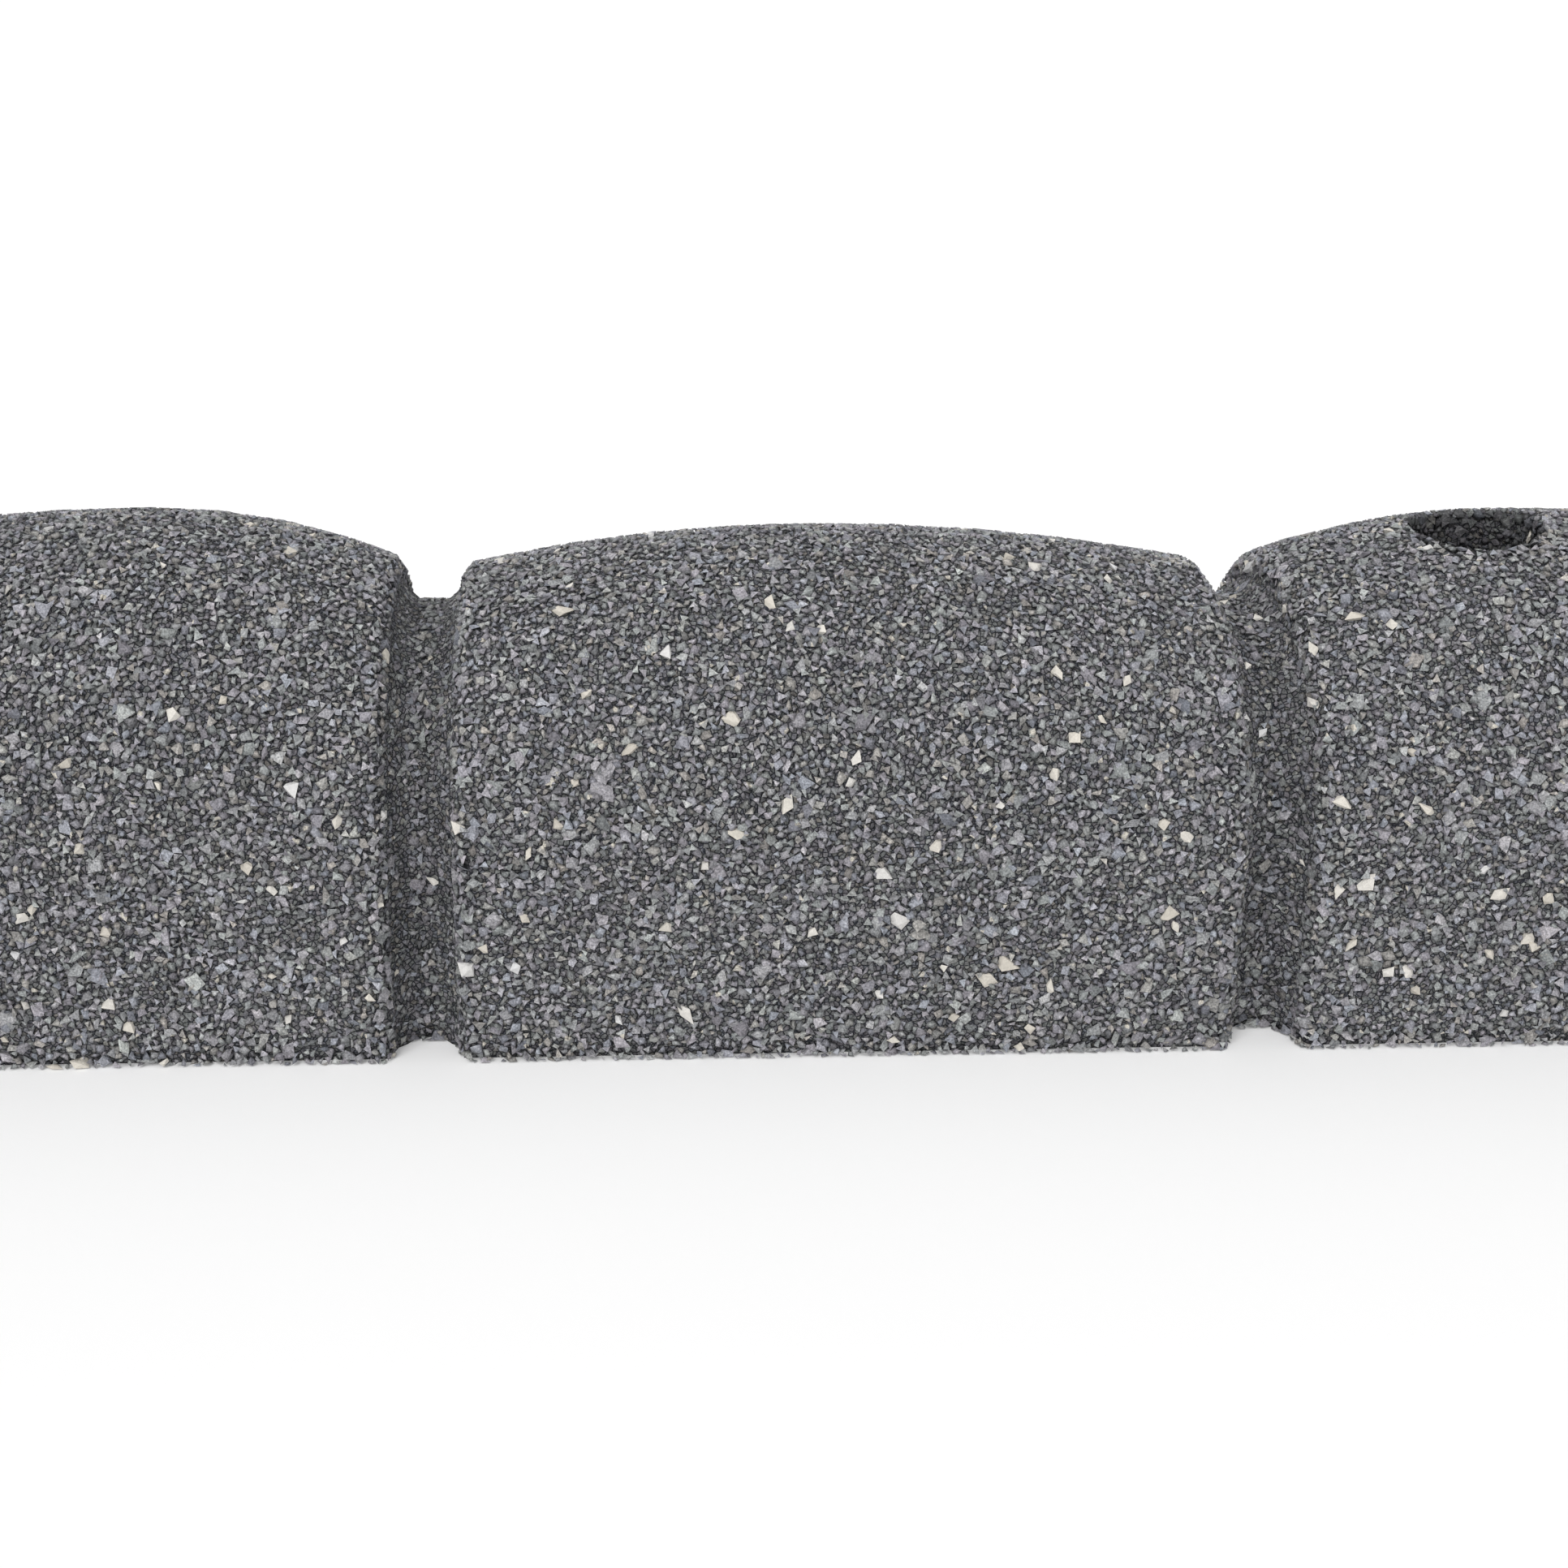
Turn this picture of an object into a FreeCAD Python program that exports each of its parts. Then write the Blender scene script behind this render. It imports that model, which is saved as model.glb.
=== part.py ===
import FreeCAD, Part
import math
import os

import Sketcher

# A garden edging strip, moulded in one piece from bonded rubber crumb.
# A row of cobble-like humps, each domed over its own crest, is parted by grooves that run up the
# front, over the top and down the back.
# X runs along the strip, the front looks to -Y and +Z is up.
# The origin is the middle of the flat underside.

# Driving dimensions, in millimetres. The valley height is where neighbouring domes would meet in the
# middle of a groove, and each crest rises above it. A share is how far along the hump a crest or a
# hole stands, from 0 at the middle of the groove on its left to 1 at the next.
SIZES = {
    "hump_pitch": 150.0,
    "set_count": 2,
    "strip_width": 80.0,
    "valley_height": 77.0,
    "early_crest_rise": 10.5,
    "early_crest_share": 0.35,
    "round_crest_rise": 11.0,
    "round_crest_share": 0.53,
    "late_crest_rise": 13.0,
    "late_crest_share": 0.65,
    "low_crest_rise": 8.7,
    "low_crest_share": 0.47,
    "groove_width": 11.0,
    "groove_side_depth": 7.0,
    "groove_top_depth": 5.2,
    "floor_bevel": 2.5,
    "lip_bevel": 2.0,
    "hole_share": 0.29,
    "humps_per_hole": 2,
    "spike_hole_diameter": 11.0,
    "head_recess_diameter": 22.0,
    "head_seat_drop": 2.0,
    "recess_rim_bevel": 1.0,
}

# The hump shapes follow each other from the left end, and the set repeats along the strip.
HUMP_SHAPES = ["early", "round", "late", "low"]

SET_LENGTH = f"({len(HUMP_SHAPES)} * Sizes.hump_pitch)"
STRIP_LENGTH = f"(Sizes.set_count * {SET_LENGTH})"
HALF_WIDTH = "(Sizes.strip_width / 2)"
FLOOR_HEIGHT = "(Sizes.valley_height - Sizes.groove_top_depth)"
HEAD_SEAT_HEIGHT = "(Sizes.valley_height - Sizes.head_seat_drop)"
HIGHEST_RISE = "max({})".format("; ".join(f"Sizes.{shape}_crest_rise" for shape in HUMP_SHAPES))
TALLEST_CREST = f"(Sizes.valley_height + {HIGHEST_RISE})"

# How Sketcher constraints name the sketch origin, the vertical axis and the ends of an edge.
ORIGIN, Y_AXIS = -1, -2
START, END, CENTRE = range(1, 4)


def make_sheet(doc):
    sheet = doc.addObject("Spreadsheet::Sheet", "Sizes")
    for row, (alias, value) in enumerate(SIZES.items(), start=1):
        sheet.set(f"A{row}", alias)
        sheet.set(f"B{row}", str(value))
        sheet.setAlias(f"B{row}", alias)
    doc.recompute()
    return sheet


def origin_feature(body, role):
    return next(item for item in body.Origin.OriginFeatures if item.Role == role)


def new_sketch(body, name, plane_role, offset="0"):
    sketch = body.newObject("Sketcher::SketchObject", name)
    sketch.AttachmentSupport = [(origin_feature(body, plane_role), "")]
    sketch.MapMode = "FlatFace"
    sketch.setExpression("AttachmentOffset.Base.z", offset)
    return sketch


def bind(sketch, name, formula, kind, *places):
    """Adds a dimension whose value follows a formula on the sheet."""
    value = float(sketch.evalExpression(formula))
    index = sketch.addConstraint(Sketcher.Constraint(kind, *places, value))
    sketch.renameConstraint(index, name)
    sketch.setExpression(f"Constraints.{name}", formula)


def point(x, y):
    return FreeCAD.Vector(x, y, 0)


def line(start, end):
    return Part.LineSegment(point(*start), point(*end))


def arc(centre, radius, start_degrees, end_degrees):
    circle = Part.Circle(point(*centre), FreeCAD.Vector(0, 0, 1), radius)
    return Part.ArcOfCircle(circle, math.radians(start_degrees), math.radians(end_degrees))


def draw_arch(sketch, width, foot, crest):
    """An upright-sided section with a flat foot and a half-round top."""
    half = float(sketch.evalExpression(f"{width} / 2"))
    low = float(sketch.evalExpression(foot))
    spring = f"({crest} - {width} / 2)"
    high = float(sketch.evalExpression(spring))
    base, right, top, left = sketch.addGeometry([
        line((-half, low), (half, low)),
        line((half, low), (half, high)),
        arc((0, high), half, 0, 180),
        line((-half, high), (-half, low)),
    ], False)
    sketch.addConstraint([
        Sketcher.Constraint("Coincident", base, END, right, START),
        Sketcher.Constraint("Tangent", right, END, top, START),
        Sketcher.Constraint("Tangent", top, END, left, START),
        Sketcher.Constraint("Coincident", left, END, base, START),
        Sketcher.Constraint("Horizontal", base),
        Sketcher.Constraint("PointOnObject", top, CENTRE, Y_AXIS),
    ])
    bind(sketch, "half_width", f"{width} / 2", "Radius", top)
    bind(sketch, "spring", spring, "DistanceY", ORIGIN, START, top, CENTRE)
    bind(sketch, "side", f"{spring} - {foot}", "Distance", right)


def pad_arch(body, name, start, width, crest, length):
    sketch = new_sketch(body, f"{name}_section", "YZ_Plane", start)
    draw_arch(sketch, width, "0", crest)
    pad = body.newObject("PartDesign::Pad", name)
    pad.Profile = sketch
    pad.setExpression("Length", length)
    return pad


def add_half_dome(body, side, crest_place, rise, reach):
    """The crest section turned about a level line below it, down to the groove on one side.

    The radius brings the top from the crest down to the valley height at the middle of the groove,
    and the turn goes far enough to close over the block there.
    """
    block_spring = f"({FLOOR_HEIGHT} - {HALF_WIDTH})"
    sketch = new_sketch(body, f"{body.Name}_{side}_section", "YZ_Plane", crest_place)
    crest_height = f"(Sizes.valley_height + {rise})"
    draw_arch(sketch, "Sizes.strip_width", block_spring, crest_height)
    radius = f"({reach}^2 + {rise}^2) / (2 * {rise})"
    axis_depth = f"({radius} - {crest_height})"
    depth = float(sketch.evalExpression(axis_depth))
    half = float(sketch.evalExpression(HALF_WIDTH))
    axis = sketch.addGeometry(line((-half, -depth), (half, -depth)), True)
    sketch.addConstraint(Sketcher.Constraint("Symmetric", axis, START, axis, END, Y_AXIS))
    bind(sketch, "axis_length", "Sizes.strip_width", "Distance", axis)
    bind(sketch, "axis_depth", axis_depth, "DistanceY", axis, START, ORIGIN, START)
    dome = body.newObject("PartDesign::Revolution", f"{body.Name}_{side}_half_dome")
    dome.Profile = sketch
    dome.ReferenceAxis = (sketch, ["Axis0"])
    dome.Reversed = side == "left"
    dome.setExpression("Angle", f"atan({reach} / ({axis_depth} + {block_spring}))")
    return dome


def cut_off_beyond(body, side, wall):
    """The dome stops at an upright groove wall, so what lies beyond the wall comes off."""
    sketch = new_sketch(body, f"{body.Name}_{side}_wall_outline", "XY_Plane")
    away = -1 if side == "left" else 1
    inner = float(sketch.evalExpression(wall))
    reach = float(sketch.evalExpression("Sizes.hump_pitch"))
    half = float(sketch.evalExpression("Sizes.strip_width"))
    outer = inner + away * reach
    near, front, far, back = sketch.addGeometry([
        line((inner, half), (inner, -half)),
        line((inner, -half), (outer, -half)),
        line((outer, -half), (outer, half)),
        line((outer, half), (inner, half)),
    ], False)
    sketch.addConstraint([
        Sketcher.Constraint("Coincident", near, END, front, START),
        Sketcher.Constraint("Coincident", front, END, far, START),
        Sketcher.Constraint("Coincident", far, END, back, START),
        Sketcher.Constraint("Coincident", back, END, near, START),
        Sketcher.Constraint("Vertical", near),
        Sketcher.Constraint("Vertical", far),
        Sketcher.Constraint("Horizontal", front),
        Sketcher.Constraint("Horizontal", back),
    ])
    bind(sketch, "depth", "2 * Sizes.strip_width", "Distance", near)
    bind(sketch, "reach", "Sizes.hump_pitch", "Distance", front)
    bind(sketch, "front_place", "Sizes.strip_width", "DistanceY", near, END, ORIGIN, START)
    bind(sketch, "wall_place", f"-({wall})", "DistanceX", near, END, ORIGIN, START)
    wall_cut = body.newObject("PartDesign::Pocket", f"{body.Name}_{side}_wall")
    wall_cut.Profile = sketch
    wall_cut.Type = "ThroughAll"
    wall_cut.Reversed = True
    body.Tip = wall_cut
    return wall_cut


def make_hump(doc, place, shape):
    """One cobble-like hump from groove wall to groove wall, domed over its own crest."""
    body = doc.addObject("PartDesign::Body", f"{shape}_hump")
    left_groove = f"({place} * Sizes.hump_pitch - {STRIP_LENGTH} / 2)"
    left_wall = f"({left_groove} + Sizes.groove_width / 2)"
    right_wall = f"({left_groove} + Sizes.hump_pitch - Sizes.groove_width / 2)"
    rise = f"Sizes.{shape}_crest_rise"
    left_reach = f"(Sizes.{shape}_crest_share * Sizes.hump_pitch)"
    right_reach = f"(Sizes.hump_pitch - {left_reach})"
    crest_place = f"({left_groove} + {left_reach})"
    pad_arch(body, f"{shape}_block", left_wall, "Sizes.strip_width", FLOOR_HEIGHT,
             "Sizes.hump_pitch - Sizes.groove_width")
    add_half_dome(body, "left", crest_place, rise, left_reach)
    whole = add_half_dome(body, "right", crest_place, rise, right_reach)
    left = cut_off_beyond(body, "left", left_wall)
    right = cut_off_beyond(body, "right", right_wall)
    doc.recompute()
    require_change(whole, left)
    require_change(left, right)
    return body


def repeat_along_strip(body, name, features, spacing, count):
    """Repeats the features along the strip, or the whole shape so far if none are named."""
    pattern = body.newObject("PartDesign::LinearPattern", name)
    if features:
        pattern.Originals = features
    else:
        pattern.TransformMode = "Whole shape"
    pattern.Direction = (origin_feature(body, "X_Axis"), [""])
    pattern.Mode = "Spacing"
    pattern.setExpression("Offset", spacing)
    pattern.setExpression("Occurrences", count)
    body.Tip = pattern
    return pattern


def wall_edges(shape, sheet, inner):
    """Names of the edges round the groove walls: those on the groove floor if inner, else the lips."""
    slack = 0.05
    core_half = sheet.strip_width / 2 - sheet.groove_side_depth + slack
    core_top = sheet.valley_height - sheet.groove_top_depth + slack
    names = []
    for number, edge in enumerate(shape.Edges, start=1):
        box = edge.BoundBox
        from_groove = abs(box.XMin - sheet.hump_pitch * round(box.XMin / sheet.hump_pitch))
        on_wall = abs(from_groove - sheet.groove_width / 2) < slack
        upright = box.XLength < slack and box.ZMax > slack
        on_core = max(-box.YMin, box.YMax) <= core_half and box.ZMax <= core_top
        if on_wall and upright and on_core == inner:
            names.append(f"Edge{number}")
    return names


def bevel(body, name, base, edges, size):
    slope = body.newObject("PartDesign::Chamfer", name)
    slope.Base = (base, edges)
    slope.setExpression("Size", size)
    body.Tip = slope
    return slope


def make_spike_hole(body):
    """A recessed hole for a ground spike, straight down through the strip."""
    sketch = new_sketch(body, "spike_hole_place", "XY_Plane", TALLEST_CREST)
    inset = f"({STRIP_LENGTH} / 2 - Sizes.hole_share * Sizes.hump_pitch)"
    place = -float(sketch.evalExpression(inset))
    radius = float(sketch.evalExpression("Sizes.spike_hole_diameter")) / 2
    circle = sketch.addGeometry(Part.Circle(point(place, 0), FreeCAD.Vector(0, 0, 1), radius), False)
    sketch.addConstraint(Sketcher.Constraint("PointOnObject", circle, CENTRE, ORIGIN))
    bind(sketch, "inset", inset, "DistanceX", circle, CENTRE, ORIGIN, START)
    bind(sketch, "bore", "Sizes.spike_hole_diameter", "Diameter", circle)
    body.Document.recompute()
    hole = body.newObject("PartDesign::Hole", "spike_hole")
    hole.Profile = sketch
    hole.DepthType = "ThroughAll"
    hole.HoleCutType = "Counterbore"
    hole.HoleCutCustomValues = True
    hole.setExpression("Diameter", "Sizes.spike_hole_diameter")
    hole.setExpression("HoleCutDiameter", "Sizes.head_recess_diameter")
    hole.setExpression("HoleCutDepth", f"{TALLEST_CREST} - {HEAD_SEAT_HEIGHT}")
    body.Tip = hole
    return hole


def rim_edges(shape, sheet):
    """Names of the edges where the head recesses open on the domes."""
    slack = 0.5
    names = []
    for number, edge in enumerate(shape.Edges, start=1):
        box = edge.BoundBox
        across = abs(box.YLength - sheet.head_recess_diameter) < slack
        if across and box.ZMin > sheet.valley_height - sheet.head_seat_drop + slack:
            names.append(f"Edge{number}")
    return names


def require_change(before, after):
    change = after.Shape.Volume - before.Shape.Volume
    print(after.Name, "changes the volume by mm3:", round(change))
    if abs(change) < 1:
        raise RuntimeError(f"{after.Name} does nothing")


def make_strip(doc, sheet):
    humps = [make_hump(doc, place, shape) for place, shape in enumerate(HUMP_SHAPES)]
    body = doc.addObject("PartDesign::Body", "edging_strip")
    body.Label = "edging_strip"
    pad_arch(body, "core", f"-{STRIP_LENGTH} / 2", "(Sizes.strip_width - 2 * Sizes.groove_side_depth)",
             FLOOR_HEIGHT, SET_LENGTH)
    hump_set = body.newObject("PartDesign::Boolean", "hump_set")
    hump_set.Type = "Fuse"
    hump_set.setObjects(humps)
    body.Tip = hump_set
    doc.recompute()
    row = repeat_along_strip(body, "hump_row", [], SET_LENGTH, "Sizes.set_count")
    doc.recompute()
    lips = bevel(body, "lip_bevels", row, wall_edges(row.Shape, sheet, False), "Sizes.lip_bevel")
    doc.recompute()
    floors = bevel(body, "floor_bevels", lips, wall_edges(lips.Shape, sheet, True),
                   "Sizes.floor_bevel")
    doc.recompute()
    hole = make_spike_hole(body)
    holes = repeat_along_strip(
        body, "spike_hole_row", [hole], "Sizes.humps_per_hole * Sizes.hump_pitch",
        f"Sizes.set_count * {len(HUMP_SHAPES)} / Sizes.humps_per_hole")
    doc.recompute()
    rims = bevel(body, "recess_rim_bevels", holes, rim_edges(holes.Shape, sheet),
                 "Sizes.recess_rim_bevel")
    doc.recompute()
    steps = [row, lips, floors, hole, holes, rims]
    for before, after in zip(steps, steps[1:]):
        require_change(before, after)
    body.Placement = FreeCAD.Placement(FreeCAD.Vector(0, 0, 0), FreeCAD.Rotation())
    return body


def check_document(doc, bodies):
    for item in doc.Objects:
        if "Invalid" in item.State or "Error" in item.State:
            raise RuntimeError(f"{item.Label} did not recompute: {item.State}")
    for body in bodies:
        if body.Shape.isNull() or not body.Shape.isValid():
            raise RuntimeError(f"{body.Label} has no valid shape")
        if len(body.Shape.Solids) != 1:
            raise RuntimeError(f"{body.Label} is {len(body.Shape.Solids)} solids")


def main():
    doc = FreeCAD.newDocument("garden_edging")
    sheet = make_sheet(doc)
    bodies = [make_strip(doc, sheet)]
    doc.recompute()
    check_document(doc, bodies)
    os.makedirs("parts", exist_ok=True)
    for body in bodies:
        body.Shape.exportStep(os.path.join("parts", body.Label + ".step"))
        box = body.Shape.optimalBoundingBox(False)
        print(body.Label, "volume mm3:", round(body.Shape.Volume), "faces:", len(body.Shape.Faces))
        print("box mm:", [round(value, 3) for value in (
            box.XMin, box.YMin, box.ZMin, box.XMax, box.YMax, box.ZMax)])


main()
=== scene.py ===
import math
from collections import namedtuple

import bpy
import numpy as np
from mathutils import Matrix, Vector
from mathutils.kdtree import KDTree


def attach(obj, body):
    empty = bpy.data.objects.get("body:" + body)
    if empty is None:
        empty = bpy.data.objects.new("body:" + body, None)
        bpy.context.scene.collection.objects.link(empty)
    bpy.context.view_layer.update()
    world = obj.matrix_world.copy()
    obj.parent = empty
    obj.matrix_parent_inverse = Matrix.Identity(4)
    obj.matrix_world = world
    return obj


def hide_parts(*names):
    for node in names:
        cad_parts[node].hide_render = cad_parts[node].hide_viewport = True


# A garden edging strip moulded from bonded rubber crumb. The moulded form is a relief mesh cut to the
# frame's own shape, and the crumb bonded over it is real chips, each its own small closed solid.
# Metres, in the frame's axes: X along the strip, the front looks to -Y and +Z is up.

MM = 0.001
BODY = "root"
NODE = "edging_strip"
SEED = 20

# The form lies a little inside the moulded surface, which the chips reach.
FORM_INSET = 0.9 * MM
FORM_VOXEL = 2.4 * MM

# The grades of crumb, coarse first: how near chips may lie to each other, their middle radius, how
# much radii vary, the corners of a chip, over how many pieces the grade is spread, the share of pale
# chips, and the share left out on level surfaces, where the crumb is finer.
Grade = namedtuple("Grade", "name spacing radius spread corners pieces pale left_out")
GRADES = [
    Grade("coarse", 3.7 * MM, 1.25 * MM, 0.22, 6, 1, 0.055, 0.9),
    Grade("medium", 1.9 * MM, 0.86 * MM, 0.22, 6, 2, 0.022, 0.5),
    Grade("fine", 1.1 * MM, 0.63 * MM, 0.15, 4, 2, 0.0, 0.0),
]
PALE_GROWTH = 1.32
# How far from a pale chip's middle, in its radii, the smaller chips stay off it.
PALE_ROOM = 0.9
# How long a chip's arms are, how far its corners stray and how deep its middle is sunk, in radii.
CHIP_STRETCH = (0.7, 1.35)
CORNER_STRAY = 0.22
CHIP_SINK = (0.2, 0.75)
# How far below the mould's wall chips may stay, in radii, and how much their pressed faces tilt, each
# on upright faces and on level ones.
RELIEF = (0.65, 0.2)
TILT = (0.35, 0.12)
FLOOR_CLEARANCE = 0.3 * MM
# Faces whose outward direction points down by more than this belong to the underside.
UNDERSIDE = -0.6
# Points tried for each square of the spacing, and the part of its map cell that a chip may fill.
TRIES_PER_SQUARE = 4
CELL_RADII = 3.2
CELL_HALF = 0.45

# The grooves and the head recesses as the solid has them, and how bright the crumb stays in them under
# the painted shade of these hollows, which fades out just past their edges.
HUMP_PITCH = 150 * MM
GROOVE_HALF_WIDTH = 5.5 * MM
HOLE_PLACE = 43.5 * MM
HOLE_SPACING = 300 * MM
RECESS_RADIUS = 11.2 * MM
GROOVE_PAINTED_SHADE = 0.78
RECESS_PAINTED_SHADE = 0.33
PAINTED_SHADE_FADE = 1.2 * MM

# The photograph's camera: lengths in pixels of a square frame, and turns in radians.
FRAME_PIXELS = 1932
FOCAL_PIXELS = 2499.0
SHIFT_PIXELS = (-150.0, -300.0)
CAMERA_PLACE = (-116.1 * MM, -354.3 * MM, 200.0 * MM)
CAMERA_YAW = 0.0258
CAMERA_PITCH = 0.3153
CAMERA_ROLL = 0.0014
SENSOR = 36.0

# The floor, which the camera sees a little brighter than it is lit, and the studio's light.
FLOOR_REACH = 30.0
FLOOR_GREY = 0.93
FLOOR_GLOW = 0.12
ROOM_LIGHT = 0.68
KEY_STRENGTH = 1.3
KEY_ANGLE = math.radians(30)
KEY_TURN = (math.radians(32), math.radians(-22), 0)


def add_mesh(name, vertices, faces):
    mesh = bpy.data.meshes.new(name)
    mesh.from_pydata(vertices, [], faces)
    obj = bpy.data.objects.new(name, mesh)
    bpy.context.scene.collection.objects.link(obj)
    return obj


def apply_modifiers(obj):
    graph = bpy.context.evaluated_depsgraph_get()
    mesh = bpy.data.meshes.new_from_object(obj.evaluated_get(graph))
    obj.modifiers.clear()
    old = obj.data
    obj.data = mesh
    bpy.data.meshes.remove(old)


def read_mesh(mesh):
    """Vertices, corners of each triangle and vertex normals as arrays."""
    mesh.calc_loop_triangles()
    places = np.empty(len(mesh.vertices) * 3)
    normals = np.empty(len(mesh.vertices) * 3)
    corners = np.empty(len(mesh.loop_triangles) * 3, np.int32)
    mesh.vertices.foreach_get("co", places)
    mesh.vertices.foreach_get("normal", normals)
    mesh.loop_triangles.foreach_get("vertices", corners)
    return places.reshape(-1, 3), corners.reshape(-1, 3), normals.reshape(-1, 3)


def make_form(node):
    """The moulded form a little inside the surface, its underside left on the floor."""
    form = bpy.data.objects.new("moulded_form", node.data.copy())
    form.data.materials.clear()
    bpy.context.scene.collection.objects.link(form)
    remesh = form.modifiers.new("even_faces", "REMESH")
    remesh.mode = "VOXEL"
    remesh.voxel_size = FORM_VOXEL
    apply_modifiers(form)
    places, _, normals = read_mesh(form.data)
    places -= FORM_INSET * normals
    places[:, 2] = np.where(normals[:, 2] < UNDERSIDE, 0.0, np.maximum(places[:, 2], 0.0))
    form.data.vertices.foreach_set("co", places.ravel())
    form.data.update()
    # Painted shade of the grooves and head recesses, kept on each point of the form.
    form.data.attributes.new("shade", "FLOAT", "POINT").data.foreach_set("value", painted_shade_at(places))
    return form


def scatter(places, corners, spacing, rng):
    """Many random points on the triangles, each with its triangle's outward direction."""
    a, b, c = (places[corners[:, i]] for i in range(3))
    cross = np.cross(b - a, c - a)
    area = np.linalg.norm(cross, axis=1) / 2
    outward = cross / np.maximum(2 * area, 1e-12)[:, None]
    area = np.where(outward[:, 2] < UNDERSIDE, 0.0, area)
    count = int(TRIES_PER_SQUARE * area.sum() / spacing**2)
    face = rng.choice(len(corners), count, p=area / area.sum())
    u, v = rng.random((2, count))
    over = u + v > 1
    u[over], v[over] = 1 - u[over], 1 - v[over]
    points = a[face] + (b - a)[face] * u[:, None] + (c - a)[face] * v[:, None]
    return points, outward[face]


def thin_out(points, spacing, taken):
    """Which points stay, so that each is clear of those before it and of the points taken already."""
    held = {}
    for cell, place in zip(map(tuple, np.floor(taken / spacing).astype(int).tolist()), taken.tolist()):
        held.setdefault(cell, []).append(place)
    kept = np.zeros(len(points), bool)
    near = [(i, j, k) for i in (-1, 0, 1) for j in (-1, 0, 1) for k in (-1, 0, 1)]
    limit = spacing**2
    cells = np.floor(points / spacing).astype(int).tolist()
    for index, (cell, place) in enumerate(zip(cells, points.tolist())):
        a, b, c = cell
        x, y, z = place
        others = (other for i, j, k in near for other in held.get((a + i, b + j, c + k), ()))
        if all((ox - x) ** 2 + (oy - y) ** 2 + (oz - z) ** 2 >= limit for ox, oy, oz in others):
            kept[index] = True
            held.setdefault((a, b, c), []).append(place)
    return kept


def clear_of_pale(points, pale):
    """Which points lie off the pale chips so far, so that no smaller chip cuts through one."""
    middles = [middle for places, _, _ in pale for middle in places]
    room = [PALE_ROOM * radius for _, _, radii in pale for radius in radii]
    tree = KDTree(len(middles))
    for index, middle in enumerate(middles):
        tree.insert(middle, index)
    tree.balance()
    nearest = (tree.find(point)[1:] for point in points)
    return np.array([index is None or distance > room[index] for index, distance in nearest])


def turned_axes(count, rng):
    """Evenly random turns, one matrix for each chip with its three axes as rows."""
    quaternions = rng.normal(size=(4, count))
    w, x, y, z = quaternions / np.linalg.norm(quaternions, axis=0)
    rows = [
        [1 - 2 * (y * y + z * z), 2 * (x * y + w * z), 2 * (x * z - w * y)],
        [2 * (x * y - w * z), 1 - 2 * (x * x + z * z), 2 * (y * z + w * x)],
        [2 * (x * z + w * y), 2 * (y * z - w * x), 1 - 2 * (x * x + y * y)],
    ]
    return np.array(rows).transpose(2, 0, 1)


# The two forms of chip, by their number of corners: an uneven tetrahedron and an uneven octahedron.
CHIP_ARMS = {
    4: np.array([(1, 1, 1), (1, -1, -1), (-1, 1, -1), (-1, -1, 1)]) / 1.25,
    6: np.array([(1, 0, 0), (0, 1, 0), (0, 0, 1), (-1, 0, 0), (0, -1, 0), (0, 0, -1)]),
}
CHIP_FACES = {
    4: np.array([(0, 1, 2), (0, 3, 1), (0, 2, 3), (1, 3, 2)]),
    6: np.array([(0, 1, 2), (1, 3, 2), (3, 4, 2), (4, 0, 2), (1, 0, 5), (3, 1, 5), (4, 3, 5), (0, 4, 5)]),
}


def from_nearest(places, start, spacing):
    """How far each place along the strip lies from the nearest of a row of evenly spaced ones."""
    return np.abs((places - start + spacing / 2) % spacing - spacing / 2)


def groove_share(points):
    """1 in a groove, fading to 0 just outside it."""
    outside = from_nearest(points[:, 0], 0, HUMP_PITCH) - GROOVE_HALF_WIDTH
    return 1 - np.clip(outside / PAINTED_SHADE_FADE, 0, 1)


def recess_share(points):
    """1 in a head recess, fading to 0 just outside its rim."""
    from_axis = np.hypot(from_nearest(points[:, 0], HOLE_PLACE, HOLE_SPACING), points[:, 1])
    return 1 - np.clip((from_axis - RECESS_RADIUS) / PAINTED_SHADE_FADE, 0, 1)


def painted_shade_at(points):
    """Painted shade of the grooves and head recesses: the share of its brightness that the crumb keeps,
    1, but less in them.
    """
    in_groove = 1 - (1 - GROOVE_PAINTED_SHADE) * groove_share(points)
    in_recess = 1 - (1 - RECESS_PAINTED_SHADE) * recess_share(points)
    return in_groove * in_recess


def chip_corners(arms, points, normals, radii, smooth, rng):
    """Corners of the chips, turned anyhow, sunk in the form and pressed nearly flush with the mould."""
    count = len(points)
    level = np.maximum(normals[:, 2], np.maximum(recess_share(points), smooth))
    relief, tilt = (upright + (flat - upright) * level for upright, flat in (RELIEF, TILT))
    turns = turned_axes(count, rng)
    stretch = radii[:, None] * rng.uniform(*CHIP_STRETCH, (count, 3))
    corners = arms @ (turns * stretch[:, :, None])
    corners += rng.normal(0, CORNER_STRAY, corners.shape) * radii[:, None, None]
    corners -= (radii * rng.uniform(*CHIP_SINK, count))[:, None, None] * normals[:, None, :]
    press = normals + tilt[:, None] * rng.normal(size=(count, 3))
    press /= np.linalg.norm(press, axis=1)[:, None]
    height = (corners * press[:, None, :]).sum(2)
    top = -relief * radii * rng.random(count) ** 2
    corners -= np.maximum(height - top[:, None], 0)[:, :, None] * press[:, None, :]
    corners += points[:, None, :]
    corners[:, :, 2] = np.maximum(corners[:, :, 2], FLOOR_CLEARANCE)
    return corners


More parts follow.
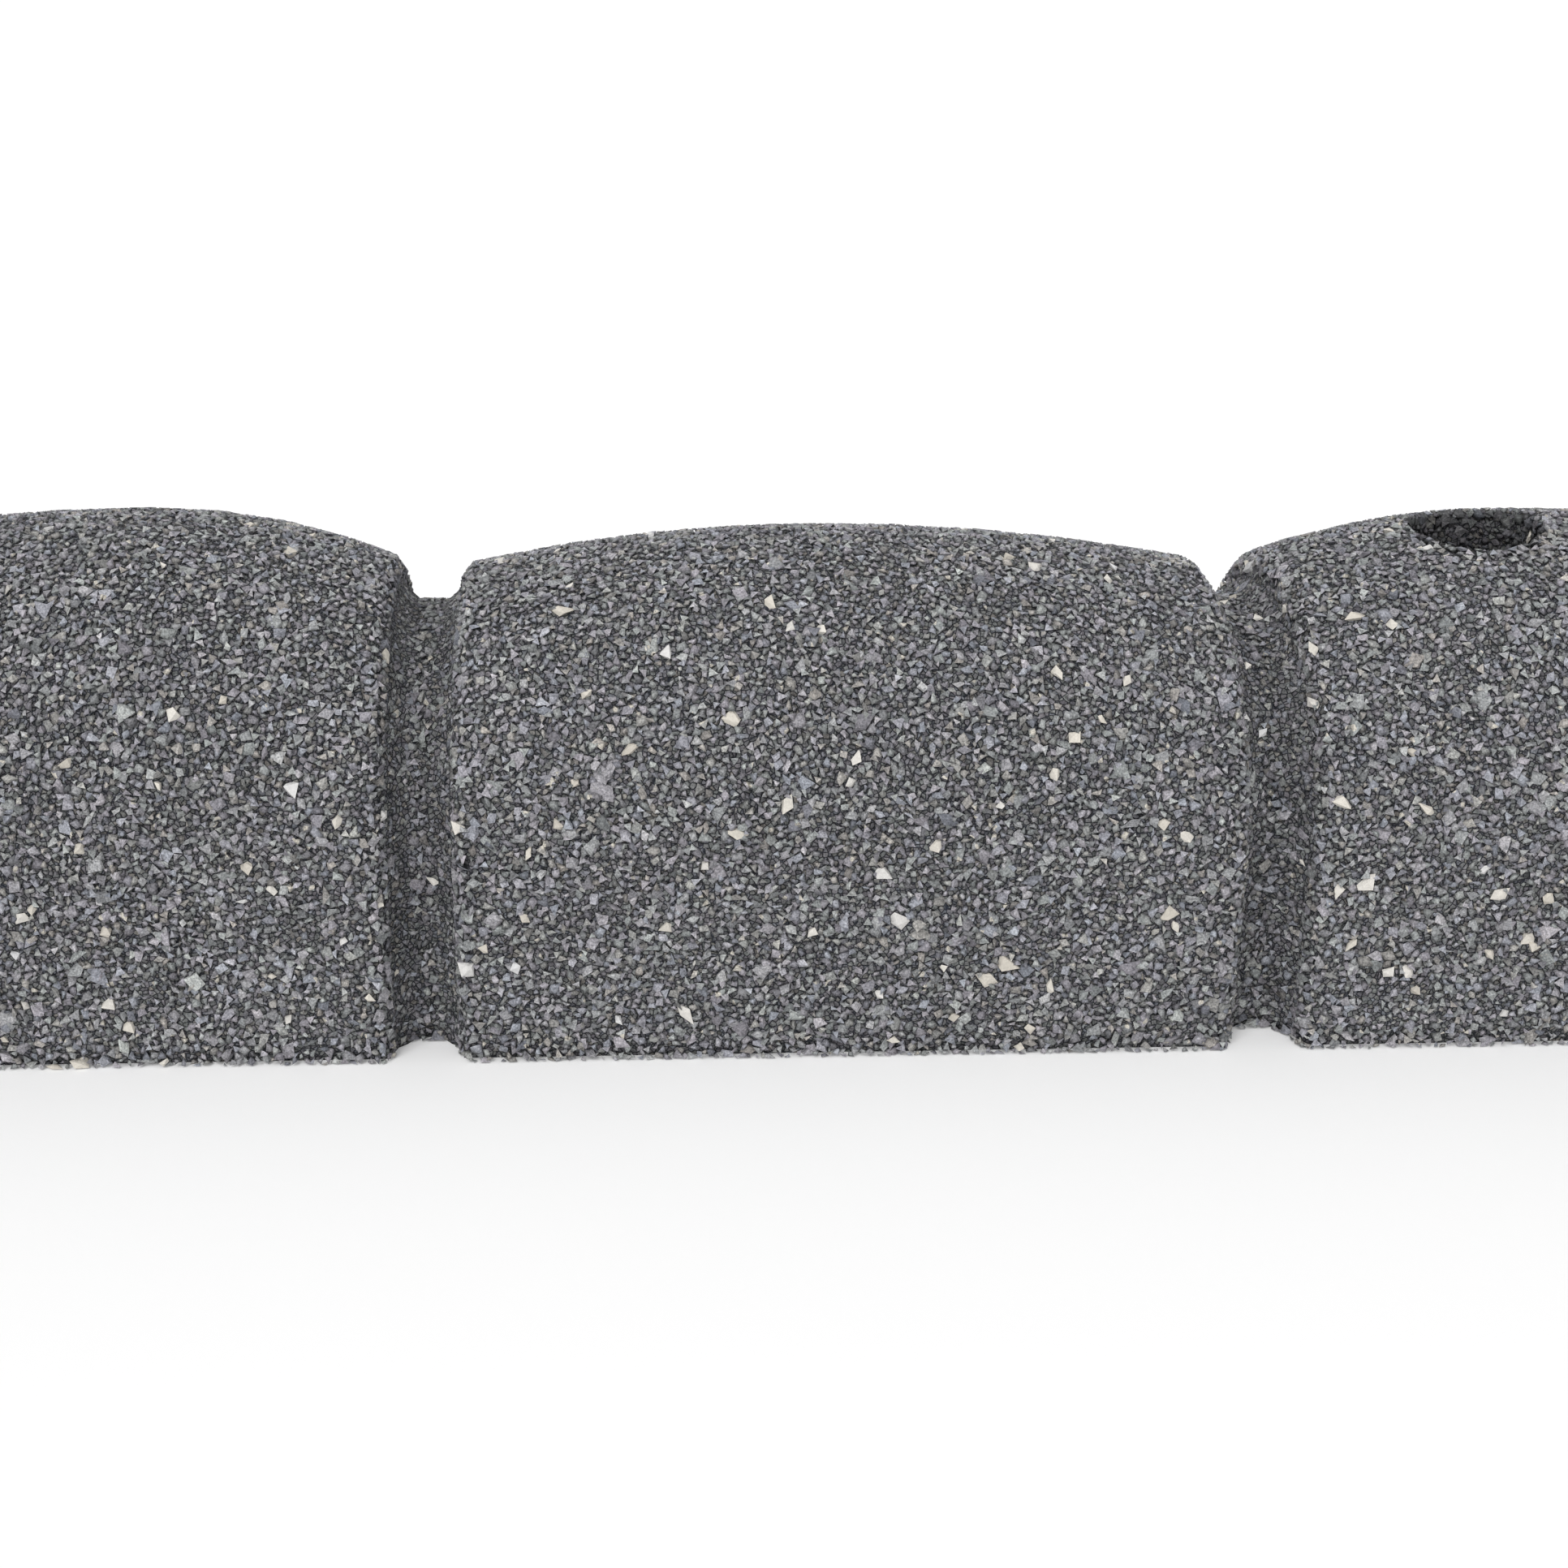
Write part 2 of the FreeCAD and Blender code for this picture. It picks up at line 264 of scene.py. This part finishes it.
def chip_map(corners, points, normals, radii):
    """A flat map in which each chip is seen from outside, in a small cell of its own."""
    count = len(points)
    across = np.cross(normals, np.array([0.37, 0.21, 0.9]))
    across /= np.linalg.norm(across, axis=1)[:, None]
    along = np.cross(normals, across)
    offset = corners - points[:, None, :]
    cells = math.ceil(math.sqrt(count))
    number = np.arange(count)
    map_places = []
    for axis, row in ((across, number % cells), (along, number // cells)):
        seen = (offset * axis[:, None]).sum(2) / (CELL_RADII * radii[:, None])
        map_places.append((row[:, None] + 0.5 + np.clip(seen, -CELL_HALF, CELL_HALF)) / cells)
    return np.stack(map_places, 2)


def make_chips(name, kind, points, normals, radii, node, rng, smooth=0.0):
    """Chips as one mesh; smooth ones, from 0 to 1, lie as flush on upright faces as on level ones."""
    count = len(points)
    corners = chip_corners(CHIP_ARMS[kind], points, normals, radii, smooth, rng)
    faces = (CHIP_FACES[kind] + kind * np.arange(count)[:, None, None]).reshape(-1, 3)
    obj = add_mesh(name, corners.reshape(-1, 3), faces)
    flush = obj.modifiers.new("flush", "SHRINKWRAP")
    flush.target = node
    flush.wrap_mode = "INSIDE"
    apply_modifiers(obj)
    layer = obj.data.uv_layers.new(name="OFBake")
    flat = chip_map(corners, points, normals, radii).reshape(-1, 2)[faces.ravel()]
    layer.uv.foreach_set("vector", flat.astype(np.float32).ravel())
    # The last of these is painted shade, darkening chips in the grooves and head recesses; tone and tint
    # are each chip's own colour.
    looks = {"chip_tone": rng.random(count), "chip_tint": rng.random(count), "shade": painted_shade_at(points)}
    for attribute, values in looks.items():
        values = np.repeat(values, len(CHIP_FACES[kind]))
        obj.data.attributes.new(attribute, "FLOAT", "FACE").data.foreach_set("value", values)
    return obj


def make_crumb(node):
    """Chips all over the part but its underside, as pieces that each run the strip's whole length.

    Every second piece of a grade has worn, rounded chips, and the others have sharp ones.
    """
    rng = np.random.default_rng(SEED)
    places, corners, _ = read_mesh(node.data)
    taken = np.empty((0, 3))
    crumb, pale = [], []
    for grade in GRADES:
        points, outward = scatter(places, corners, grade.spacing, rng)
        kept = thin_out(points, grade.spacing, taken)
        kept &= rng.random(len(points)) > grade.left_out * np.clip(outward[:, 2], 0, 1)
        points, outward = points[kept], outward[kept]
        clear = clear_of_pale(points, pale)
        points, outward = points[clear], outward[clear]
        taken = np.concatenate([taken, points])
        radii = grade.radius * np.exp(rng.normal(0, grade.spread, len(points)))
        fleck = rng.random(len(points)) < grade.pale
        pale.append((points[fleck], outward[fleck], radii[fleck] * PALE_GROWTH))
        share = rng.integers(0, grade.pieces, len(points))
        for number in range(grade.pieces):
            mine = ~fleck & (share == number)
            name = f"{grade.name}_crumb_{number + 1}"
            chips = make_chips(name, grade.corners, points[mine], outward[mine], radii[mine], node, rng)
            if number % 2:
                chips.data.shade_smooth()
            crumb.append(chips)
    flecks = make_chips("pale_flecks", 6, *map(np.concatenate, zip(*pale)), node, rng, smooth=1.0)
    return crumb, flecks


def new_material(name):
    material = bpy.data.materials.new(name)
    material.use_nodes = True
    nodes = material.node_tree.nodes
    nodes.clear()
    shader = nodes.new("ShaderNodeBsdfPrincipled")
    output = nodes.new("ShaderNodeOutputMaterial")
    material.node_tree.links.new(shader.outputs["BSDF"], output.inputs["Surface"])
    return material, shader


class Nodes:
    """Short calls to add and join the nodes of one material."""

    def __init__(self, material):
        self.tree = material.node_tree

    def add(self, kind, settings=(), **inputs):
        node = self.tree.nodes.new(kind)
        for name, value in dict(settings).items():
            setattr(node, name, value)
        for name, value in inputs.items():
            self.feed(node.inputs[name.replace("_", " ")], value)
        return node

    def feed(self, socket, value):
        """Joins another node's output to the socket, or sets a plain value on it."""
        if isinstance(value, bpy.types.NodeSocket):
            self.tree.links.new(value, socket)
        else:
            socket.default_value = value

    def join(self, source, target):
        self.tree.links.new(source, target)

    def ramp(self, factor, stops, interpolation="LINEAR"):
        node = self.add("ShaderNodeValToRGB", Fac=factor)
        ramp = node.color_ramp
        ramp.interpolation = interpolation
        while len(ramp.elements) < len(stops):
            ramp.elements.new(1.0)
        for element, (place, colour) in zip(ramp.elements, stops):
            element.position = place
            element.color = (*colour, 1.0)
        return node.outputs["Color"]

    def math(self, operation, a, b):
        node = self.add("ShaderNodeMath", {"operation": operation})
        for socket, value in zip(node.inputs, (a, b)):
            self.feed(socket, value)
        return node.outputs[0]

    def mix(self, kind, factor, a, b):
        node = self.add("ShaderNodeMix", {"data_type": "RGBA", "blend_type": kind})
        for socket, value in zip((node.inputs[0], node.inputs[6], node.inputs[7]), (factor, a, b)):
            self.feed(socket, value)
        return node.outputs[2]


# Greys of the rubber from the darkest grains to the palest, and the tints that single grains lean to.
RUBBER_GREYS = [
    (0.00, (0.250, 0.252, 0.264)),
    (0.20, (0.375, 0.376, 0.388)),
    (0.60, (0.465, 0.466, 0.477)),
    (0.90, (0.545, 0.546, 0.553)),
    (1.00, (0.660, 0.660, 0.655)),
]
RUBBER_TINTS = [
    (0.00, (0.93, 0.98, 1.07)),
    (0.30, (1.03, 0.97, 1.03)),
    (0.55, (1.00, 1.00, 1.00)),
    (0.80, (0.97, 1.02, 0.98)),
    (1.00, (1.08, 1.00, 0.91)),
]
GRAIN_SIZE = 0.9 * MM
PIT_SIZE = 0.35 * MM


def place_of(nodes):
    return nodes.add("ShaderNodeTexCoord").outputs["Object"]


def attribute(nodes, name):
    return nodes.add("ShaderNodeAttribute", {"attribute_name": name}).outputs["Fac"]


def mottle(nodes, size, low, high):
    """A grey that varies between low and high in blotches of about this size."""
    noise = nodes.add("ShaderNodeTexNoise", Vector=place_of(nodes), Scale=1 / size, Detail=3.0,
                      Roughness=0.6)
    return nodes.ramp(noise.outputs["Fac"], [(0.3, (low,) * 3), (0.7, (high,) * 3)])


def grain_mosaic(nodes, gap_shade_colour):
    """Grains under a millimetre: each one's own random colour, and the gaps between them in the given
    colour, for painted shade in the crevices between the grains.
    """
    place = place_of(nodes)
    cells = nodes.add("ShaderNodeTexVoronoi", Vector=place, Scale=1 / GRAIN_SIZE)
    edges = nodes.add("ShaderNodeTexVoronoi", {"feature": "DISTANCE_TO_EDGE"}, Vector=place,
                      Scale=1 / GRAIN_SIZE)
    split = nodes.add("ShaderNodeSeparateColor", Color=cells.outputs["Color"])
    gaps = nodes.ramp(edges.outputs["Distance"], [(0.0, gap_shade_colour), (0.12, (1.0,) * 3)])
    return split.outputs, gaps


def pitted(nodes, gaps, strength, depth):
    """Bumps of rounded grains with fine pits over them."""
    grains = nodes.add("ShaderNodeBump", Strength=strength, Distance=depth, Height=gaps)
    noise = nodes.add("ShaderNodeTexNoise", Vector=place_of(nodes), Scale=1 / PIT_SIZE, Detail=4.0,
                      Roughness=0.7)
    pits = nodes.add("ShaderNodeBump", Strength=0.9, Distance=0.26 * MM, Height=noise.outputs["Fac"],
                     Normal=grains.outputs["Normal"])
    return pits.outputs["Normal"]


def crumb_material():
    """Torn rubber: every chip its own grey, broken into grains with painted shade in the crevices between
    them, mottled and finely pitted, and darkened by painted shade in the grooves and head recesses.
    """
    material, shader = new_material("crumb_chips")
    nodes = Nodes(material)
    colour = nodes.mix("MULTIPLY", 1.0, nodes.ramp(attribute(nodes, "chip_tone"), RUBBER_GREYS),
                       nodes.ramp(attribute(nodes, "chip_tint"), RUBBER_TINTS))
    grain, gaps = grain_mosaic(nodes, (0.22, 0.26, 0.34))
    own = nodes.ramp(grain["Red"], [(0.0, (0.6,) * 3), (0.4, (1.0,) * 3), (1.0, (1.15,) * 3)])
    colour = nodes.mix("MULTIPLY", 0.6, colour, own)
    # Painted shade: the crevices between the grains a little darker.
    colour = nodes.mix("MULTIPLY", 0.25, colour, gaps)
    speck = nodes.ramp(grain["Green"], [(0.0, (0.0,) * 3), (0.988, (1.0,) * 3)], "CONSTANT")
    colour = nodes.mix("MIX", speck, colour, (0.72, 0.68, 0.60, 1.0))
    colour = nodes.mix("MULTIPLY", 1.0, colour, mottle(nodes, 0.35 * MM, 0.5, 1.35))
    colour = nodes.mix("MULTIPLY", 1.0, colour, mottle(nodes, 22 * MM, 0.95, 1.04))
    # Painted shade: darker in the grooves and head recesses.
    colour = nodes.mix("MULTIPLY", 1.0, colour, attribute(nodes, "shade"))
    nodes.join(colour, shader.inputs["Base Color"])
    nodes.join(pitted(nodes, gaps, 0.4, 0.2 * MM), shader.inputs["Normal"])
    shader.inputs["Roughness"].default_value = 0.82
    shader.inputs["Specular IOR Level"].default_value = 0.3
    return material


def pale_material():
    """The few pale chips: cream to white, lightly mottled and finely pitted."""
    material, shader = new_material("pale_chips")
    nodes = Nodes(material)
    cream = nodes.ramp(attribute(nodes, "chip_tone"), [
        (0.0, (0.70, 0.65, 0.57)), (0.3, (0.86, 0.81, 0.72)), (0.8, (0.92, 0.89, 0.84)),
        (1.0, (0.85, 0.85, 0.86)),
    ])
    colour = nodes.mix("MULTIPLY", 1.0, cream, mottle(nodes, 0.6 * MM, 0.86, 1.05))
    nodes.join(colour, shader.inputs["Base Color"])
    _, gaps = grain_mosaic(nodes, (0.3,) * 3)
    nodes.join(pitted(nodes, gaps, 0.2, 0.1 * MM), shader.inputs["Normal"])
    shader.inputs["Roughness"].default_value = 0.7
    shader.inputs["Specular IOR Level"].default_value = 0.35
    return material


def form_material():
    """What shows between the chips: fine crumb in the rubber's own greys, kept dark as painted shade of
    the crevices between the chips.
    """
    material, shader = new_material("fine_crumb")
    nodes = Nodes(material)
    grain, gaps = grain_mosaic(nodes, (0.06, 0.08, 0.12))
    colour = nodes.mix("MULTIPLY", 1.0, nodes.ramp(grain["Red"], RUBBER_GREYS),
                       nodes.ramp(grain["Green"], RUBBER_TINTS))
    # Painted shade: dark crevices between the fine grains.
    colour = nodes.mix("MULTIPLY", 1.0, colour, gaps)
    # Blotches of the crumb's own tone, held dark overall as painted shade of the crevices between the
    # chips.
    colour = nodes.mix("MULTIPLY", 1.0, colour, mottle(nodes, 0.4 * MM, 0.2, 0.75))
    # Painted shade: darker in the grooves and head recesses.
    colour = nodes.mix("MULTIPLY", 1.0, colour, attribute(nodes, "shade"))
    nodes.join(colour, shader.inputs["Base Color"])
    nodes.join(pitted(nodes, gaps, 0.9, 0.35 * MM), shader.inputs["Normal"])
    shader.inputs["Roughness"].default_value = 0.9
    shader.inputs["Specular IOR Level"].default_value = 0.25
    return material


def make_camera():
    camera = bpy.data.objects.new("camera", bpy.data.cameras.new("camera"))
    bpy.context.scene.collection.objects.link(camera)
    camera.data.sensor_width = SENSOR
    camera.data.lens = FOCAL_PIXELS / FRAME_PIXELS * SENSOR
    camera.data.shift_x = -SHIFT_PIXELS[0] / FRAME_PIXELS
    camera.data.shift_y = SHIFT_PIXELS[1] / FRAME_PIXELS
    camera.data.clip_start = 0.01
    camera.data.clip_end = 100
    forward = Vector((
        math.sin(CAMERA_YAW) * math.cos(CAMERA_PITCH),
        math.cos(CAMERA_YAW) * math.cos(CAMERA_PITCH),
        -math.sin(CAMERA_PITCH),
    ))
    turn = forward.to_track_quat("-Z", "Y").to_matrix() @ Matrix.Rotation(-CAMERA_ROLL, 3, "Z")
    camera.matrix_world = Matrix.Translation(CAMERA_PLACE) @ turn.to_4x4()
    bpy.context.scene.camera = camera


def make_floor():
    r = FLOOR_REACH
    floor = add_mesh("floor", [(-r, -r, 0), (r, -r, 0), (r, r, 0), (-r, r, 0)], [(0, 1, 2, 3)])
    material, shader = new_material("pale_floor")
    shader.inputs["Base Color"].default_value = (FLOOR_GREY, FLOOR_GREY, FLOOR_GREY, 1)
    shader.inputs["Roughness"].default_value = 0.9
    shader.inputs["Specular IOR Level"].default_value = 0.0
    nodes = Nodes(material)
    rays = nodes.add("ShaderNodeLightPath")
    shader.inputs["Emission Color"].default_value = (1, 1, 1, 1)
    glow = nodes.math("MULTIPLY", rays.outputs["Is Camera Ray"], FLOOR_GLOW)
    nodes.join(glow, shader.inputs["Emission Strength"])
    floor.data.materials.append(material)


def make_lights():
    """An even bright room, and one broad lamp high in front and to the left."""
    world = bpy.data.worlds.new("studio")
    bpy.context.scene.world = world
    world.use_nodes = True
    nodes = Nodes(world)
    nodes.tree.nodes.clear()
    rays = nodes.add("ShaderNodeLightPath").outputs
    direct = nodes.math("MAXIMUM", rays["Is Camera Ray"], rays["Is Glossy Ray"])
    direct = nodes.math("MAXIMUM", direct, rays["Is Transmission Ray"])
    seen = nodes.add("ShaderNodeBackground", Strength=1.0, Color=(1, 1, 1, 1))
    lit = nodes.add("ShaderNodeBackground", Strength=ROOM_LIGHT, Color=(1, 1, 1, 1))
    mix = nodes.add("ShaderNodeMixShader", Fac=direct)
    output = nodes.add("ShaderNodeOutputWorld")
    nodes.join(lit.outputs[0], mix.inputs[1])
    nodes.join(seen.outputs[0], mix.inputs[2])
    nodes.join(mix.outputs[0], output.inputs["Surface"])
    lamp = bpy.data.lights.new("key", "SUN")
    lamp.energy = KEY_STRENGTH
    lamp.angle = KEY_ANGLE
    key = bpy.data.objects.new("key", lamp)
    bpy.context.scene.collection.objects.link(key)
    key.rotation_euler = KEY_TURN


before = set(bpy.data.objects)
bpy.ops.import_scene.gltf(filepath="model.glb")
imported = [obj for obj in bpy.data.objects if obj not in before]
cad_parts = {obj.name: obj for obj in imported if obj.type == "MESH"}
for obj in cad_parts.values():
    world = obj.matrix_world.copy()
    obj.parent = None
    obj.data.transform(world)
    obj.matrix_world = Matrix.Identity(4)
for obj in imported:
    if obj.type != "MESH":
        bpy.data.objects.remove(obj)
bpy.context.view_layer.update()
bpy.context.scene.view_settings.view_transform = "Standard"

form = make_form(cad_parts[NODE])
crumb, flecks = make_crumb(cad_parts[NODE])
form.data.materials.append(form_material())
form.data.shade_smooth()
chips_finish = crumb_material()
for part in crumb:
    part.data.materials.append(chips_finish)
flecks.data.materials.append(pale_material())
for part in (form, *crumb, flecks):
    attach(part, BODY)
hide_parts(NODE)

make_floor()
make_lights()
make_camera()
